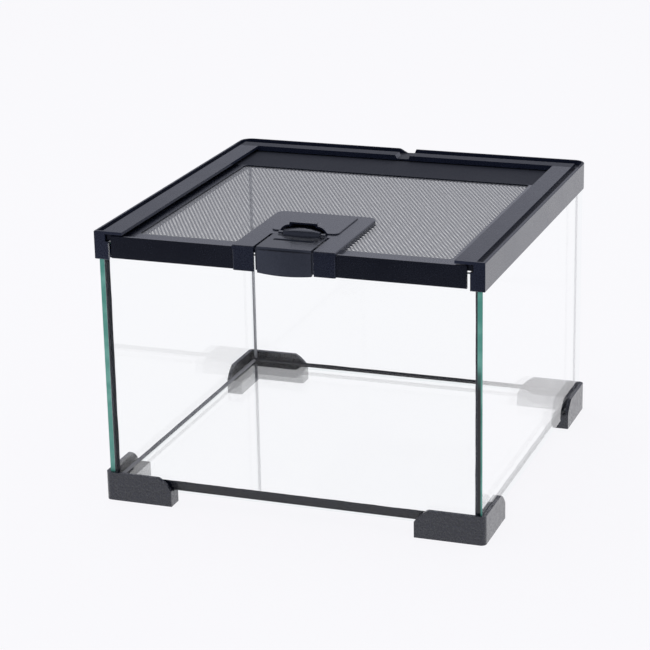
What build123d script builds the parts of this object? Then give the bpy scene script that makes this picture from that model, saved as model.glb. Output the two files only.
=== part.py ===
"""Small glass reptile terrarium with a sliding screen lid.

Millimetres. X runs to the right, Y to the back, Z up. The origin is on the table, under the
middle of the tank. The lid slides out over the front pane, towards -Y.
"""
import math
import os

from build123d import *

# ---- overall size -------------------------------------------------------------------------
frame_width = 200.0         # top frame, side to side
frame_depth = 200.0         # top frame, front to back
total_height = 142.7        # table to the top of the frame

# ---- glass --------------------------------------------------------------------------------
glass = 2.5                 # thickness of every pane
glass_inset = 1.67          # outer face of the glass behind the outer face of the frame
ground_gap = 7.6            # table to the underside of the base pane
joint = 0.6                 # silicone between two panes
glass_fit = 0.1             # between the glass and the mouldings round it

# ---- silicone beads -----------------------------------------------------------------------
bead_front_corner = 2.1     # leg of the bead in the two front corners
bead_back_corner = 0.9      # leg of the bead in the two back corners
bead_base = 2.0             # leg of the bead round the base
bead_base_front = 2.5       # leg of the heavier bead behind the front pane
bead_top_gap = 0.2          # bead's top end below the frame
bead_hollow = 0.36          # how far a bead fills its corner, as a share of its leg

# ---- corner feet --------------------------------------------------------------------------
foot_overhang = 2.14        # foot's outer face in front of the glass
foot_leg = 36.2             # length of each leg along the side
foot_seat = 8.7             # width of the ledge that carries the glass
foot_lip = 7.4              # lip's height beside the glass
foot_end_drop = 6.8         # top of the foot down to the end's sloped corner
foot_slope_run = 7.4        # length of that sloped corner
foot_slope_bulge = 0.7      # how far the slope swells outwards
foot_corner_radius = 2.7
foot_edge_radius = 0.5

# ---- top frame: a U of one moulding, open at the front --------------------------------------
frame_height = 14.5         # moulding's full height
corner_radius = 6.5
rail_width = 15.0           # side rails, seen from above
back_rail_width = 16.0
leg_width = 7.4             # skirt that clasps the glass, outer to inner face
shelf_drop = 5.2            # top of the frame to the ledge that the lid's runners slide on
shelf_wall = 1.2            # plastic between that ledge and the glass below it
side_top_thick = 1.5        # side rails' top plate, above the slot
back_top_thick = 2.7        # back rail's top plate, above the slot
side_slot_depth = 9.2       # slot for the runner, in from the rail's inner edge
back_slot_depth = 6.3
lip = 1.4                   # thin outer lip beside the top channel
channel_depth = 2.4
channel_inner_side = 4.5    # channel's inner wall, in from the frame's outer face
channel_inner_back = 8.7
channel_front_rim = 1.1
frame_edge = 0.35           # bevel along the outer edges

# ---- cord notch in the middle of the back rail ----------------------------------------------
lip_notch_top = (-6.1, 3.5)
lip_notch_floor = (-1.7, 2.5)
ridge_notch_top = (-4.0, 4.4)
ridge_notch_floor = (-3.0, 3.7)
ridge_notch_depth = 1.9

# ---- sliding lid --------------------------------------------------------------------------
run_gap = 0.3               # running gap below and behind the lid
side_play = 0.5             # running gap beside the runners
panel = 1.8                 # thickness of the lid's flat panel
runner_width = 3.5
runner_top_gap = 0.4        # running gap above the runners
bar_half = 91.0             # half length of the front bar
bar_wall = 1.4
bar_gap = 0.27              # back of the bar in front of the glass
bar_raise = 1.0             # bar's bottom edge above the frame's
bar_top_step = 1.0          # bar's top edge above the panel
bar_edge_radius = 0.3
window_half = 80.5          # half width of the screen's window
window_front = 11.0         # window's front edge behind the frame's front
window_back = 37.0          # plain band behind the window, from the lid's rear edge
window_radius = 2.0
rebate = 3.0                # ledge round the window that holds the screen
screen_thick = 0.5
retainer_thick = 0.6
retainer_ledge = 0.6        # retainer's inner edge outside the window
insert_fit = 0.3            # screen and retainer inside the rebate

# ---- screen -------------------------------------------------------------------------------
screen_pitch = 11.6         # hole to hole, in every direction
screen_hole = 8.8           # hole's width across its flats
screen_margin = 3.0         # least plain edge between the window and the holes

# ---- latch cover on the lid -----------------------------------------------------------------
cover_half = 26.5
cover_depth = 64.0          # front of the frame to the cover's rear edge
cover_rise = 2.0            # cover's top above the panel
cover_thick = 1.6
cover_wall = 1.4
cover_radius = 6.0
cover_edge = 0.4            # bevel round the cover's top
cover_fit = 0.3             # between the cover's sides and the bar's raised top edge
apron_thick = 1.0           # cover's front plates, in front of the bar
apron_inset = 0.2           # their outer edge inside the cover's side
apron_drop = 10.6           # panel's top to the bottom of the front plates
apron_edge_radius = 0.8     # their outer upright edges
bar_cut_extra = 1.6         # bar's gap behind the latch beyond the latch's slot, each side
pad_half = 17.4             # raised pad behind the latch
pad_rise = 0.6
pad_rear_gap = 2.8          # pad's rear edge in front of the cover's
pad_radius = 3.0
pad_edge = 0.25             # bevel round the pad's top
hood_half = 12.6            # hood over the latch's hinge, half width at its foot
hood_top_half = 7.4
hood_height = 5.2
hood_shoulder = 3.9         # height where the hood's curved shoulder meets its flat-topped middle
hood_swell = 0.22           # how far the shoulder swells, as a share of its run
hood_top_step = 0.3         # how much narrower the flat top is than the shoulder
hood_wall = 0.9
hood_length = 17.0
hood_front = 1.5            # hood's mouth behind the hinge axis
hood_tail = 0.25            # size of the hood's tail, as a share of its mouth
hood_hollow = 12.75         # length of the hollow under the hood
hood_hollow_tail = 0.3      # size of the hollow's end, as a share of its mouth

# ---- latch --------------------------------------------------------------------------------
tongue_half = 14.0
tongue_slot = 1.4           # gap beside the tongue
tongue_rest_gap = 0.3       # tongue above the lid's panel
hinge_back = 26.0           # hinge axis behind the frame's front
hinge_drop = 0.7            # hinge axis below the cover's top
hinge_pin_radius = 0.8
hinge_clearance = 0.05
knuckle_radius = 1.5
dome_half = 9.4
dome_radius = 3.9
dome_end_radius = 2.4
dome_flat = 0.5             # underside of the dome's rear half below the axis
shoulder_gap = 3.3          # rear edge of the flat tongue in front of the axis
ear_width = 2.2
ear_radius = 1.7
ear_gap = 0.5               # between the dome's ends and the ears
face_gap = 0.15             # back of the front plate in front of the panel's edge
face_thick = 1.8            # plate at its ends
face_bow = 0.9              # how much thicker it is in the middle
face_drop = 11.0            # panel's top down to the plate's bottom edge at its ends
face_droop = 0.7            # how much lower that edge is in the middle
face_step = 0.35            # tongue's front edge behind the plate's ends
face_step_drop = 1.3        # plate's top below the tongue's
flange = 0.9                # flange beside the plate, along its back
flange_thick = 1.0
flange_raise = 1.0          # flange's bottom above the plate's
face_edge_radius = 0.5
face_top_edge = 0.3         # bevel along its top
grip_offsets = (4.6, 12.0)  # grip grooves in front of the hinge axis
grip_halves = (11.2, 10.7)
grip_widths = (1.5, 2.8)
grip_depths = (0.6, 0.9)
tooth_half = 5.0
tooth_thick = 1.8
tooth_gap = 0.5             # tooth behind the front pane
tooth_rise = 0.4            # tooth's tip above the front pane
tooth_slot_gap = 0.8
cut_over = 1.0              # how far a cutting tool runs past the surface that it opens

# ---- places worked out from the sizes above --------------------------------------------------
foot_x = frame_width / 2 - glass_inset + foot_overhang
foot_y = frame_depth / 2 - glass_inset + foot_overhang
foot_height = ground_gap + foot_lip
front = -frame_depth / 2
back = frame_depth / 2

frame_bottom = total_height - frame_height
shelf_height = total_height - shelf_drop
side_slot_top = total_height - side_top_thick
back_slot_top = total_height - back_top_thick
channel_floor = total_height - channel_depth
glass_top = shelf_height - shelf_wall - glass_fit

glass_x = frame_width / 2 - glass_inset
glass_front = front + glass_inset
glass_back = back - glass_inset
inner_x = glass_x - glass
inner_front = glass_front + glass
inner_back = glass_back - glass
base_top = ground_gap + glass
wall_height = glass_top - ground_gap

panel_bottom = shelf_height + run_gap
panel_top = panel_bottom + panel
lid_front = glass_front - bar_gap
bar_bottom = frame_bottom + bar_raise
lid_back = back - back_rail_width + back_slot_depth - run_gap
slot_half = frame_width / 2 - rail_width + side_slot_depth
lid_half = slot_half - side_play
window_y0 = front + window_front
window_y1 = lid_back - window_back
screen_bottom = panel_bottom + retainer_thick
screen_top = screen_bottom + screen_thick

cover_front = front - apron_thick
cover_back = front + cover_depth
cover_top = panel_top + cover_rise
cover_under = cover_top - cover_thick
hinge_y = front + hinge_back
hinge_height = cover_top - hinge_drop
slot_side = tongue_half + tongue_slot
tongue_under = panel_top + tongue_rest_gap
tongue_back = hinge_y - shoulder_gap
slot_back = tongue_back + run_gap

os.makedirs("parts", exist_ok=True)


def keep(part, name):
    """Label a finished piece and write it to its own file."""
    part.label = name
    export_step(part, f"parts/{name}.step")


def block(x0, x1, y0, y1):
    """A rectangle in the current sketch, given by its edges."""
    with Locations(((x0 + x1) / 2, (y0 + y1) / 2)):
        Rectangle(x1 - x0, y1 - y0)


def carve(x0, x1, y0, y1):
    """A rectangle taken out of the current sketch, given by its edges."""
    with Locations(((x0 + x1) / 2, (y0 + y1) / 2)):
        Rectangle(x1 - x0, y1 - y0, mode=Mode.SUBTRACT)


# ==== glass ==================================================================================
with BuildPart() as base_glass:
    with BuildSketch(Plane.XY.offset(ground_gap)):
        block(joint - inner_x, inner_x - joint, inner_front + joint, inner_back - joint)
    extrude(amount=glass)
keep(base_glass.part, "base_glass")

for name, pane_y in (("front_glass", glass_front), ("back_glass", inner_back)):
    with BuildPart() as cross_pane:
        with BuildSketch(Plane.XY.offset(ground_gap)):
            block(joint - inner_x, inner_x - joint, pane_y, pane_y + glass)
        extrude(amount=wall_height)
    keep(cross_pane.part, name)

for name, pane_x in (("left_glass", -glass_x), ("right_glass", inner_x)):
    with BuildPart() as side_pane:
        with BuildSketch(Plane.XY.offset(ground_gap)):
            block(pane_x, pane_x + glass, glass_front, glass_back)
        extrude(amount=wall_height)
    keep(side_pane.part, name)


# ==== silicone =================================================================================
def bead_outline(corner_x, corner_y, into_x, into_y, leg):
    """A concave bead in an inside corner, reaching leg along both faces."""
    tip_x = (corner_x + into_x * leg, corner_y)
    tip_y = (corner_x, corner_y + into_y * leg)
    hollow = leg * bead_hollow
    middle = (corner_x + into_x * hollow, corner_y + into_y * hollow)
    with BuildLine() as bead:
        Line((corner_x, corner_y), tip_x)
        ThreePointArc(tip_x, middle, tip_y)
        Line(tip_y, (corner_x, corner_y))
    make_face(bead.edges())


for end, face_y, pane_y, into_y, leg, base_leg in (
    ("front", inner_front, glass_front, 1, bead_front_corner, bead_base_front),
    ("back", inner_back, inner_back, -1, bead_back_corner, bead_base),
):
    for side, into_x in (("left", 1), ("right", -1)):
        face_x = -into_x * inner_x
        with BuildPart() as corner_seam:
            with BuildSketch(Plane.XY.offset(ground_gap)):
                joint_x = sorted((face_x, face_x + into_x * joint))
                block(*joint_x, pane_y, pane_y + glass)
            extrude(amount=frame_bottom - bead_top_gap - ground_gap)
            with BuildSketch(Plane.XY.offset(base_top + base_leg)):
                bead_outline(face_x, face_y, into_x, into_y, leg)
            extrude(amount=frame_bottom - bead_top_gap - base_top - base_leg)
        keep(corner_seam.part, f"seam_{end}_{side}")

for end, face_y, into_y, leg in (
    ("front", inner_front, 1, bead_base_front),
    ("back", inner_back, -1, bead_base),
):
    with BuildPart() as cross_bead:
        with BuildSketch(Plane.YZ.offset(-inner_x)):
            joint_y = sorted((face_y, face_y + into_y * joint))
            block(*joint_y, ground_gap, base_top)
            bead_outline(face_y, base_top, into_y, 1, leg)
        extrude(amount=2 * inner_x)
    keep(cross_bead.part, f"base_bead_{end}")

side_bead_y0 = inner_front + bead_base_front
side_bead_y1 = inner_back - bead_base
for side, into_x in (("left", 1), ("right", -1)):
    face_x = -into_x * inner_x
    with BuildPart() as side_bead:
        with BuildSketch(Plane.XZ.offset(-side_bead_y1)):
            joint_x = sorted((face_x, face_x + into_x * joint))
            block(*joint_x, ground_gap, base_top)
            bead_outline(face_x, base_top, into_x, 1, bead_base)
        extrude(amount=side_bead_y1 - side_bead_y0)
        for strip_y0, strip_y1 in (
            (inner_front + joint, side_bead_y0),
            (side_bead_y1, inner_back - joint),
        ):
            with BuildSketch(Plane.XY.offset(ground_gap)):
                block(*joint_x, strip_y0, strip_y1)
            extrude(amount=glass)
    keep(side_bead.part, f"base_bead_{side}")

# ==== corner feet ============================================================================
lip_width = foot_overhang - glass_fit


def leg_pair(width):
    """Two rectangles along the two outer sides of the back right corner."""
    block(foot_x - foot_leg, foot_x, foot_y - width, foot_y)
    block(foot_x - width, foot_x, foot_y - foot_leg, foot_y)


def slope_cut(end, inwards):
    """The corner taken off a leg's end, in the vertical plane along that leg."""
    start = (end, foot_height - foot_end_drop)
    finish = (end + inwards * foot_slope_run, foot_height)
    length = math.hypot(foot_slope_run, foot_end_drop)
    bulge = (
        (start[0] + finish[0]) / 2 - inwards * foot_slope_bulge * foot_end_drop / length,
        (start[1] + finish[1]) / 2 + foot_slope_bulge * foot_slope_run / length,
    )
    with BuildLine() as corner:
        ThreePointArc(start, bulge, finish)
        outside = (end - inwards * cut_over, foot_height + cut_over)
        Line(finish, outside)
        Line(outside, start)
    make_face(corner.edges())


with BuildPart() as foot:
    with BuildSketch():
        leg_pair(foot_seat)
    extrude(amount=ground_gap)
    with BuildSketch(Plane.XY.offset(ground_gap)):
        leg_pair(lip_width)
    extrude(amount=foot_height - ground_gap)
    upright = foot.edges().filter_by(Axis.Z).sort_by(lambda e: e.center().X + e.center().Y)[-1]
    fillet(upright, foot_corner_radius)
    fillet(foot.faces().sort_by(Axis.Z)[-1].edges().sort_by(SortBy.LENGTH)[-1], foot_edge_radius)
    with BuildSketch(Plane.XZ.offset(-foot_y)):
        slope_cut(foot_x - foot_leg, 1)
    extrude(amount=foot_seat, mode=Mode.SUBTRACT)
    with BuildSketch(Plane.YZ.offset(foot_x)):
        slope_cut(foot_y - foot_leg, 1)
    extrude(amount=-foot_seat, mode=Mode.SUBTRACT)
keep(foot.part, "foot_back_right")

with BuildPart() as foot_back_left:
    mirror(foot.part, about=Plane.YZ)
keep(foot_back_left.part, "foot_back_left")
with BuildPart() as foot_front_right:
    mirror(foot.part, about=Plane.XZ)
keep(foot_front_right.part, "foot_front_right")
with BuildPart() as foot_front_left:
    mirror(foot_back_left.part, about=Plane.XZ)
keep(foot_front_left.part, "foot_front_left")

# ==== top frame ==============================================================================
rail_inner = frame_width / 2 - rail_width
ridge_y = back - back_rail_width
leg_inner = frame_width / 2 - leg_width
slot_y = ridge_y + back_slot_depth
frame_steps = (
    (frame_bottom, shelf_height, leg_inner, back - leg_width),
    (shelf_height, back_slot_top, slot_half, slot_y),
    (back_slot_top, side_slot_top, slot_half, ridge_y),
    (side_slot_top, total_height, rail_inner, ridge_y),
)


def notch_outline(top, floor, floor_height):
    """A notch with sloping sides, open at the top."""
    over = total_height + cut_over
    Polygon(
        (top[0], over),
        (top[0], total_height),
        (floor[0], floor_height),
        (floor[1], floor_height),
        (top[1], total_height),
        (top[1], over),
        align=None,
    )


with BuildPart() as top_frame:
    for step_bottom, step_top, opening_half, opening_back in frame_steps:
        with BuildSketch(Plane.XY.offset(step_bottom)) as outline:
            block(-frame_width / 2, frame_width / 2, front, back)
            fillet(outline.vertices().group_by(Axis.Y)[-1], corner_radius)
            carve(-opening_half, opening_half, front, opening_back)
        extrude(amount=step_top - step_bottom)
    for rim in (top_frame.edges().group_by(Axis.Z)[0], top_frame.edges().group_by(Axis.Z)[-1]):
        chamfer([e for e in rim if abs(e.center().X) > slot_half or e.center().Y > slot_y], frame_edge)
    with BuildSketch(Plane.XY.offset(frame_bottom)):
        groove_x = glass_x + glass_fit
        core_x = inner_x - glass_fit
        block(-groove_x, groove_x, glass_front - glass_fit, glass_back + glass_fit)
        carve(-core_x, core_x, inner_front + glass_fit, inner_back - glass_fit)
    extrude(amount=glass_top + glass_fit - frame_bottom, mode=Mode.SUBTRACT)
    with BuildSketch(Plane.XY.offset(channel_floor)) as channel:
        block(lip - frame_width / 2, frame_width / 2 - lip, front + channel_front_rim, back - lip)
        fillet(channel.vertices().group_by(Axis.Y)[-1], corner_radius - lip)
        channel_half = frame_width / 2 - channel_inner_side
        carve(-channel_half, channel_half, front, back - channel_inner_back)
    extrude(amount=total_height - channel_floor, mode=Mode.SUBTRACT)
    with BuildSketch(Plane.XZ.offset(-back)):
        notch_outline(lip_notch_top, lip_notch_floor, channel_floor)
    extrude(amount=lip, mode=Mode.SUBTRACT)
    with BuildSketch(Plane.XZ.offset(channel_inner_back - back)):
        notch_outline(ridge_notch_top, ridge_notch_floor, total_height - ridge_notch_depth)
    extrude(amount=back_rail_width - channel_inner_back, mode=Mode.SUBTRACT)
keep(top_frame.part, "top_frame")

# ==== lid frame ==============================================================================
with BuildPart() as lid_frame:
    with BuildSketch(Plane.XY.offset(panel_bottom)):
        block(-lid_half, lid_half, lid_front, lid_back)
    extrude(amount=panel)
    with BuildSketch(Plane.XY.offset(panel_top)):
        for into in (-1, 1):
            runner_x = sorted((into * lid_half, into * (lid_half - runner_width)))
            block(*runner_x, lid_front, ridge_y - run_gap)
    extrude(amount=side_slot_top - runner_top_gap - panel_top)
    with BuildSketch(Plane.XZ.offset(-lid_front)):
        block(-bar_half, bar_half, bar_bottom, panel_top + bar_top_step)
    extrude(amount=bar_wall)
    fillet(lid_frame.faces().sort_by(Axis.Y)[0].edges().filter_by(Axis.X), bar_edge_radius)
    with BuildSketch(Plane.XZ.offset(-lid_front)):
        block(-slot_side - bar_cut_extra, slot_side + bar_cut_extra, bar_bottom, panel_top)
        block(-cover_half - cover_fit, cover_half + cover_fit, panel_top, panel_top + bar_top_step)
    extrude(amount=bar_wall, mode=Mode.SUBTRACT)
    with BuildSketch(Plane.XY.offset(panel_bottom)) as window:
        block(-window_half, window_half, window_y0, window_y1)
        fillet(window.vertices(), window_radius)
    extrude(amount=panel, mode=Mode.SUBTRACT)
    with BuildSketch(Plane.XY.offset(panel_bottom)):
        block(-window_half - rebate, window_half + rebate, window_y0 - rebate, window_y1 + rebate)
    extrude(amount=screen_top - panel_bottom, mode=Mode.SUBTRACT)
    with BuildSketch(Plane.XY.offset(panel_bottom)):
        tooth_y0 = inner_front + tooth_gap - tooth_slot_gap
        tooth_y1 = inner_front + tooth_gap + tooth_thick + tooth_slot_gap
        block(-tooth_half - tooth_slot_gap, tooth_half + tooth_slot_gap, tooth_y0, tooth_y1)
    extrude(amount=panel, mode=Mode.SUBTRACT)
keep(lid_frame.part, "lid_frame")

insert_half = window_half + rebate - insert_fit
insert_y0 = window_y0 - rebate + insert_fit
insert_y1 = window_y1 + rebate - insert_fit
with BuildPart() as mesh_retainer:
    with BuildSketch(Plane.XY.offset(panel_bottom)):
        block(-insert_half, insert_half, insert_y0, insert_y1)
        ring_half = window_half + retainer_ledge
        carve(-ring_half, ring_half, window_y0 - retainer_ledge, window_y1 + retainer_ledge)
    extrude(amount=retainer_thick)
keep(mesh_retainer.part, "mesh_retainer")

# ==== screen: a perforated sheet with staggered rows of six-sided holes ------------------------
hole_radius = screen_hole / math.sqrt(3)
row_pitch = screen_pitch * math.sqrt(3) / 2
window_y = (window_y0 + window_y1) / 2
screen_columns = math.floor((2 * (window_half - screen_margin)) / screen_pitch - 0.5)
screen_rows = math.floor((window_y1 - window_y0 - 2 * screen_margin) / row_pitch)
with BuildPart() as mesh_screen:
    with BuildSketch(Plane.XY.offset(screen_bottom)):
        block(-insert_half, insert_half, insert_y0, insert_y1)
        for row in range(screen_rows):
            stagger = screen_pitch / 4 if row % 2 else -screen_pitch / 4
            with Locations((stagger, window_y + row_pitch * (row - (screen_rows - 1) / 2))):
                with GridLocations(screen_pitch, row_pitch, screen_columns, 1):
                    RegularPolygon(hole_radius, 6, rotation=30, mode=Mode.SUBTRACT)
    extrude(amount=screen_thick)
keep(mesh_screen.part, "mesh_screen")


# ==== latch cover ============================================================================
def hood_outline(shrink, scale):
    """The hood's front view: curved shoulders up to a flat-topped middle."""
    foot_half = (hood_half - shrink) * scale
    top_half = (hood_top_half - shrink) * scale
    foot_z = cover_top - cover_thick / 2
    shoulder_z = cover_top + (hood_shoulder - shrink) * scale
    top_z = cover_top + (hood_height - shrink) * scale
    sag = hood_swell * (foot_half - top_half)
    elbow_x = (foot_half + top_half) / 2
    elbow_z = (cover_top + shoulder_z) / 2 + sag
    with BuildLine() as hood:
        Polyline((-foot_half, cover_top), (-foot_half, foot_z), (foot_half, foot_z), (foot_half, cover_top))
        ThreePointArc((foot_half, cover_top), (elbow_x, elbow_z), (top_half, shoulder_z))
        flat_half = top_half - hood_top_step
        Polyline((top_half, shoulder_z), (flat_half, top_z), (-flat_half, top_z), (-top_half, shoulder_z))
        ThreePointArc((-top_half, shoulder_z), (-elbow_x, elbow_z), (-foot_half, cover_top))
    make_face(hood.edges())


ear_outer = dome_half + ear_gap + ear_width
ear_inner = dome_half + ear_gap
mouth_y = hinge_y + hood_front
cover_walls = (
    (panel_top, cover_under, cover_front),
    (screen_top, panel_top, window_y0 + run_gap),
)

with BuildPart() as latch_cover:
    with BuildSketch(Plane.XY.offset(cover_under)) as plate:
        block(-cover_half, cover_half, cover_front, cover_back)
        fillet(plate.vertices().group_by(Axis.Y)[-1], cover_radius)
    extrude(amount=cover_thick)
    chamfer(latch_cover.faces().sort_by(Axis.Z)[-1].edges(), cover_edge)
    for wall_bottom, wall_top, wall_front in cover_walls:
        with BuildSketch(Plane.XY.offset(wall_bottom)) as wall:
            block(-cover_half, cover_half, wall_front, cover_back)
            fillet(wall.vertices().group_by(Axis.Y)[-1], cover_radius)
            inner_half = cover_half - cover_wall
            carve(-inner_half, inner_half, wall_front, cover_back - cover_wall)
        extrude(amount=wall_top - wall_bottom)
    with BuildSketch(Plane.XY.offset(panel_top - apron_drop)) as aprons:
        apron_half = cover_half - apron_inset
        for into in (-1, 1):
            apron_x = sorted((into * slot_side, into * apron_half))
            block(*apron_x, cover_front, front)
        front_corners = aprons.vertices().group_by(Axis.Y)[0].sort_by(Axis.X)
        fillet((front_corners[0], front_corners[-1]), apron_edge_radius)
    extrude(amount=cover_under - panel_top + apron_drop)
    with BuildSketch(Plane.XY.offset(cover_top)) as pad:
        block(-pad_half, pad_half, hinge_y + ear_radius + run_gap, cover_back - pad_rear_gap)
        fillet(pad.vertices(), pad_radius)
    extrude(amount=pad_rise)
    chamfer(latch_cover.faces().sort_by(Axis.Z)[-1].edges(), pad_edge)
    with BuildSketch(Plane.XZ.offset(-mouth_y)):
        hood_outline(0, 1)
    with BuildSketch(Plane.XZ.offset(-mouth_y - hood_length)):
        hood_outline(0, hood_tail)
    loft(ruled=True)
    with BuildSketch(Plane.XZ.offset(-mouth_y)):
        hood_outline(hood_wall, 1)
    with BuildSketch(Plane.XZ.offset(-mouth_y - hood_hollow)):
        hood_outline(hood_wall, hood_hollow_tail)
    loft(ruled=True, mode=Mode.SUBTRACT)
    with BuildSketch(Plane.XY.offset(cover_under)):
        block(-slot_side, slot_side, cover_front, slot_back)
        block(-ear_inner, ear_inner, slot_back, hinge_y + dome_radius + run_gap)
    extrude(amount=cover_thick + pad_rise, mode=Mode.SUBTRACT)
    for ear_x in (-ear_outer, ear_inner):
        with BuildSketch(Plane.YZ.offset(ear_x)):
            with Locations((hinge_y, hinge_height)):
                Circle(ear_radius)
        extrude(amount=ear_width)
    with BuildSketch(Plane.YZ.offset(-ear_outer)):
        with Locations((hinge_y, hinge_height)):
            Circle(hinge_pin_radius + hinge_clearance)
    extrude(amount=2 * ear_outer, mode=Mode.SUBTRACT)
keep(latch_cover.part, "latch_cover")

with BuildPart() as latch_pin:
    with BuildSketch(Plane.YZ.offset(-ear_outer)):
        with Locations((hinge_y, hinge_height)):
            Circle(hinge_pin_radius)
    extrude(amount=2 * ear_outer)
keep(latch_pin.part, "latch_pin")

# ==== latch tongue ===========================================================================
face_back = lid_front - face_gap
face_front = face_back - face_thick
face_low = panel_top - face_drop
face_high = cover_top - face_step_drop
with BuildPart() as latch_tongue:
    with BuildSketch(Plane.XY.offset(face_low - face_droop)):
        with BuildLine():
            ends = ((-tongue_half, face_front), (tongue_half, face_front))
            Polyline(ends[0], (-tongue_half, face_back), (tongue_half, face_back), ends[1])
            ThreePointArc(ends[1], (0, face_front - face_bow), ends[0])
        make_face()
    extrude(amount=face_high - face_low + face_droop)
    fillet(latch_tongue.edges().filter_by(Axis.Z).group_by(Axis.Y)[0], face_edge_radius)
    chamfer(latch_tongue.faces().sort_by(Axis.Z)[-1].edges().sort_by(Axis.Y)[0], face_top_edge)
    with BuildSketch(Plane.XZ.offset(-face_back)):
        with BuildLine():
            ends = ((-tongue_half, face_low), (tongue_half, face_low))
            below = face_low - face_droop - cut_over
            ThreePointArc(ends[0], (0, face_low - face_droop), ends[1])
            Polyline(ends[1], (tongue_half, below), (-tongue_half, below), ends[0])
        make_face()
    extrude(amount=face_thick + face_bow, mode=Mode.SUBTRACT)
    with BuildSketch(Plane.XZ.offset(-face_back)):
        flange_half = tongue_half + flange
        block(-flange_half, flange_half, face_low + flange_raise, face_high)
    extrude(amount=flange_thick)
    with BuildSketch(Plane.XY.offset(tongue_under)):
        block(-tongue_half, tongue_half, face_front + face_step, tongue_back)
        block(-dome_half, dome_half, tongue_back, hinge_y)
    extrude(amount=cover_top - tongue_under)
    with BuildSketch(Plane.XY.offset(glass_top + tooth_rise)):
        tooth_y = inner_front + tooth_gap
        block(-tooth_half, tooth_half, tooth_y, tooth_y + tooth_thick)
    extrude(amount=tongue_under - glass_top - tooth_rise)
    with BuildSketch(Plane.XZ.offset(-hinge_y)):
        with BuildLine():
            low_end = hinge_height + dome_end_radius
            ends = ((-dome_half, low_end), (dome_half, low_end))
            Polyline(ends[0], (-dome_half, hinge_height), (dome_half, hinge_height), ends[1])
            ThreePointArc(ends[1], (0, hinge_height + dome_radius), ends[0])
        make_face()
    revolve(axis=Axis((0, hinge_y, hinge_height), (1, 0, 0)), revolution_arc=360)
    with BuildSketch(Plane.YZ.offset(-dome_half)):
        reach = dome_radius + cut_over
        block(hinge_y - reach, hinge_y + reach, hinge_height - reach, hinge_height - dome_flat)
        block(hinge_y - reach, hinge_y - shoulder_gap, hinge_height - dome_flat, tongue_under)
    extrude(amount=2 * dome_half, mode=Mode.SUBTRACT)
    with BuildSketch(Plane.YZ.offset(-dome_half)):
        with Locations((hinge_y, hinge_height)):
            Circle(knuckle_radius)
    extrude(amount=2 * dome_half)
    with BuildSketch(Plane.YZ.offset(-dome_half)):
        with Locations((hinge_y, hinge_height)):
            Circle(hinge_pin_radius + hinge_clearance)
    extrude(amount=2 * dome_half, mode=Mode.SUBTRACT)
    for offset_y, half, width, depth in zip(grip_offsets, grip_halves, grip_widths, grip_depths):
        with BuildSketch(Plane.XY.offset(cover_top - depth)):
            with Locations((0, hinge_y - offset_y)):
                SlotOverall(2 * half, width)
        extrude(amount=depth, mode=Mode.SUBTRACT)
keep(latch_tongue.part, "latch_tongue")
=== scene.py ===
"""Looks, silicone, fine screen, stage and camera for a small glass reptile terrarium.

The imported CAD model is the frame. Most of its pieces keep their shapes and get their finishes
here. The coarse screen of the lid is replaced by one with holes of the real size, and the plain
silicone seams and beads by tooled ones that stand just clear of the glass. Lengths are in metres.
"""
import math

import bmesh
import bpy
from bpy.props import FloatProperty, FloatVectorProperty, PointerProperty
from mathutils import Matrix, Vector, noise as vector_noise


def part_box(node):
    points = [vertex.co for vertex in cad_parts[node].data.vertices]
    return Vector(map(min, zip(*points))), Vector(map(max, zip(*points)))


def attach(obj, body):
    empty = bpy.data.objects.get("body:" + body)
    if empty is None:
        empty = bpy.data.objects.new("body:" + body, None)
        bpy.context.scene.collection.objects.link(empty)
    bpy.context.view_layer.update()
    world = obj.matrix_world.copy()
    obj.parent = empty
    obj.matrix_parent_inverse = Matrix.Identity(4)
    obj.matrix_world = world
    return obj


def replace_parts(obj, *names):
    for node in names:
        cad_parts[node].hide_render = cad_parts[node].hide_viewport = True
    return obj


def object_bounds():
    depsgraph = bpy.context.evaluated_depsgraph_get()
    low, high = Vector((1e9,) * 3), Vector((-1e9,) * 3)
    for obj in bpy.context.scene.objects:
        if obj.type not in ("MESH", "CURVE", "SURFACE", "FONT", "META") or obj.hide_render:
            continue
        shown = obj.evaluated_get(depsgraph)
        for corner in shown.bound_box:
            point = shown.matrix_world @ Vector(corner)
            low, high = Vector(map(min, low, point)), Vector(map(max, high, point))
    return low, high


bl_info = {
    "name": "Reptile terrarium looks",
    "version": (1, 0, 0),
    "blender": (4, 5, 0),
    "location": "3D View > Sidebar > Terrarium",
    "description": "Finishes, silicone, fine screen, stage and camera for the packed terrarium",
    "category": "Object",
}

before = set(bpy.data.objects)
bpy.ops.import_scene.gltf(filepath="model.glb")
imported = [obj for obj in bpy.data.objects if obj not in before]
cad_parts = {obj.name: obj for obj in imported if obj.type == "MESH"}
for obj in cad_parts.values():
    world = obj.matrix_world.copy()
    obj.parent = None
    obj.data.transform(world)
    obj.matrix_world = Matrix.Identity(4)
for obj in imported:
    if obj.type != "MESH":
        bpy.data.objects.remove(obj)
CAD_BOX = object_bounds()
SCREEN_LOW, SCREEN_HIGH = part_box("mesh_screen")
FRAME_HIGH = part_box("top_frame")[1]
BASE_LOW, BASE_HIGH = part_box("base_glass")
FRONT_LOW, FRONT_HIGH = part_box("front_glass")
BACK_LOW, BACK_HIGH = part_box("back_glass")
LEFT_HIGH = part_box("left_glass")[1]
RIGHT_LOW, RIGHT_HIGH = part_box("right_glass")

WHITE = (1.0, 1.0, 1.0)

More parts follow.
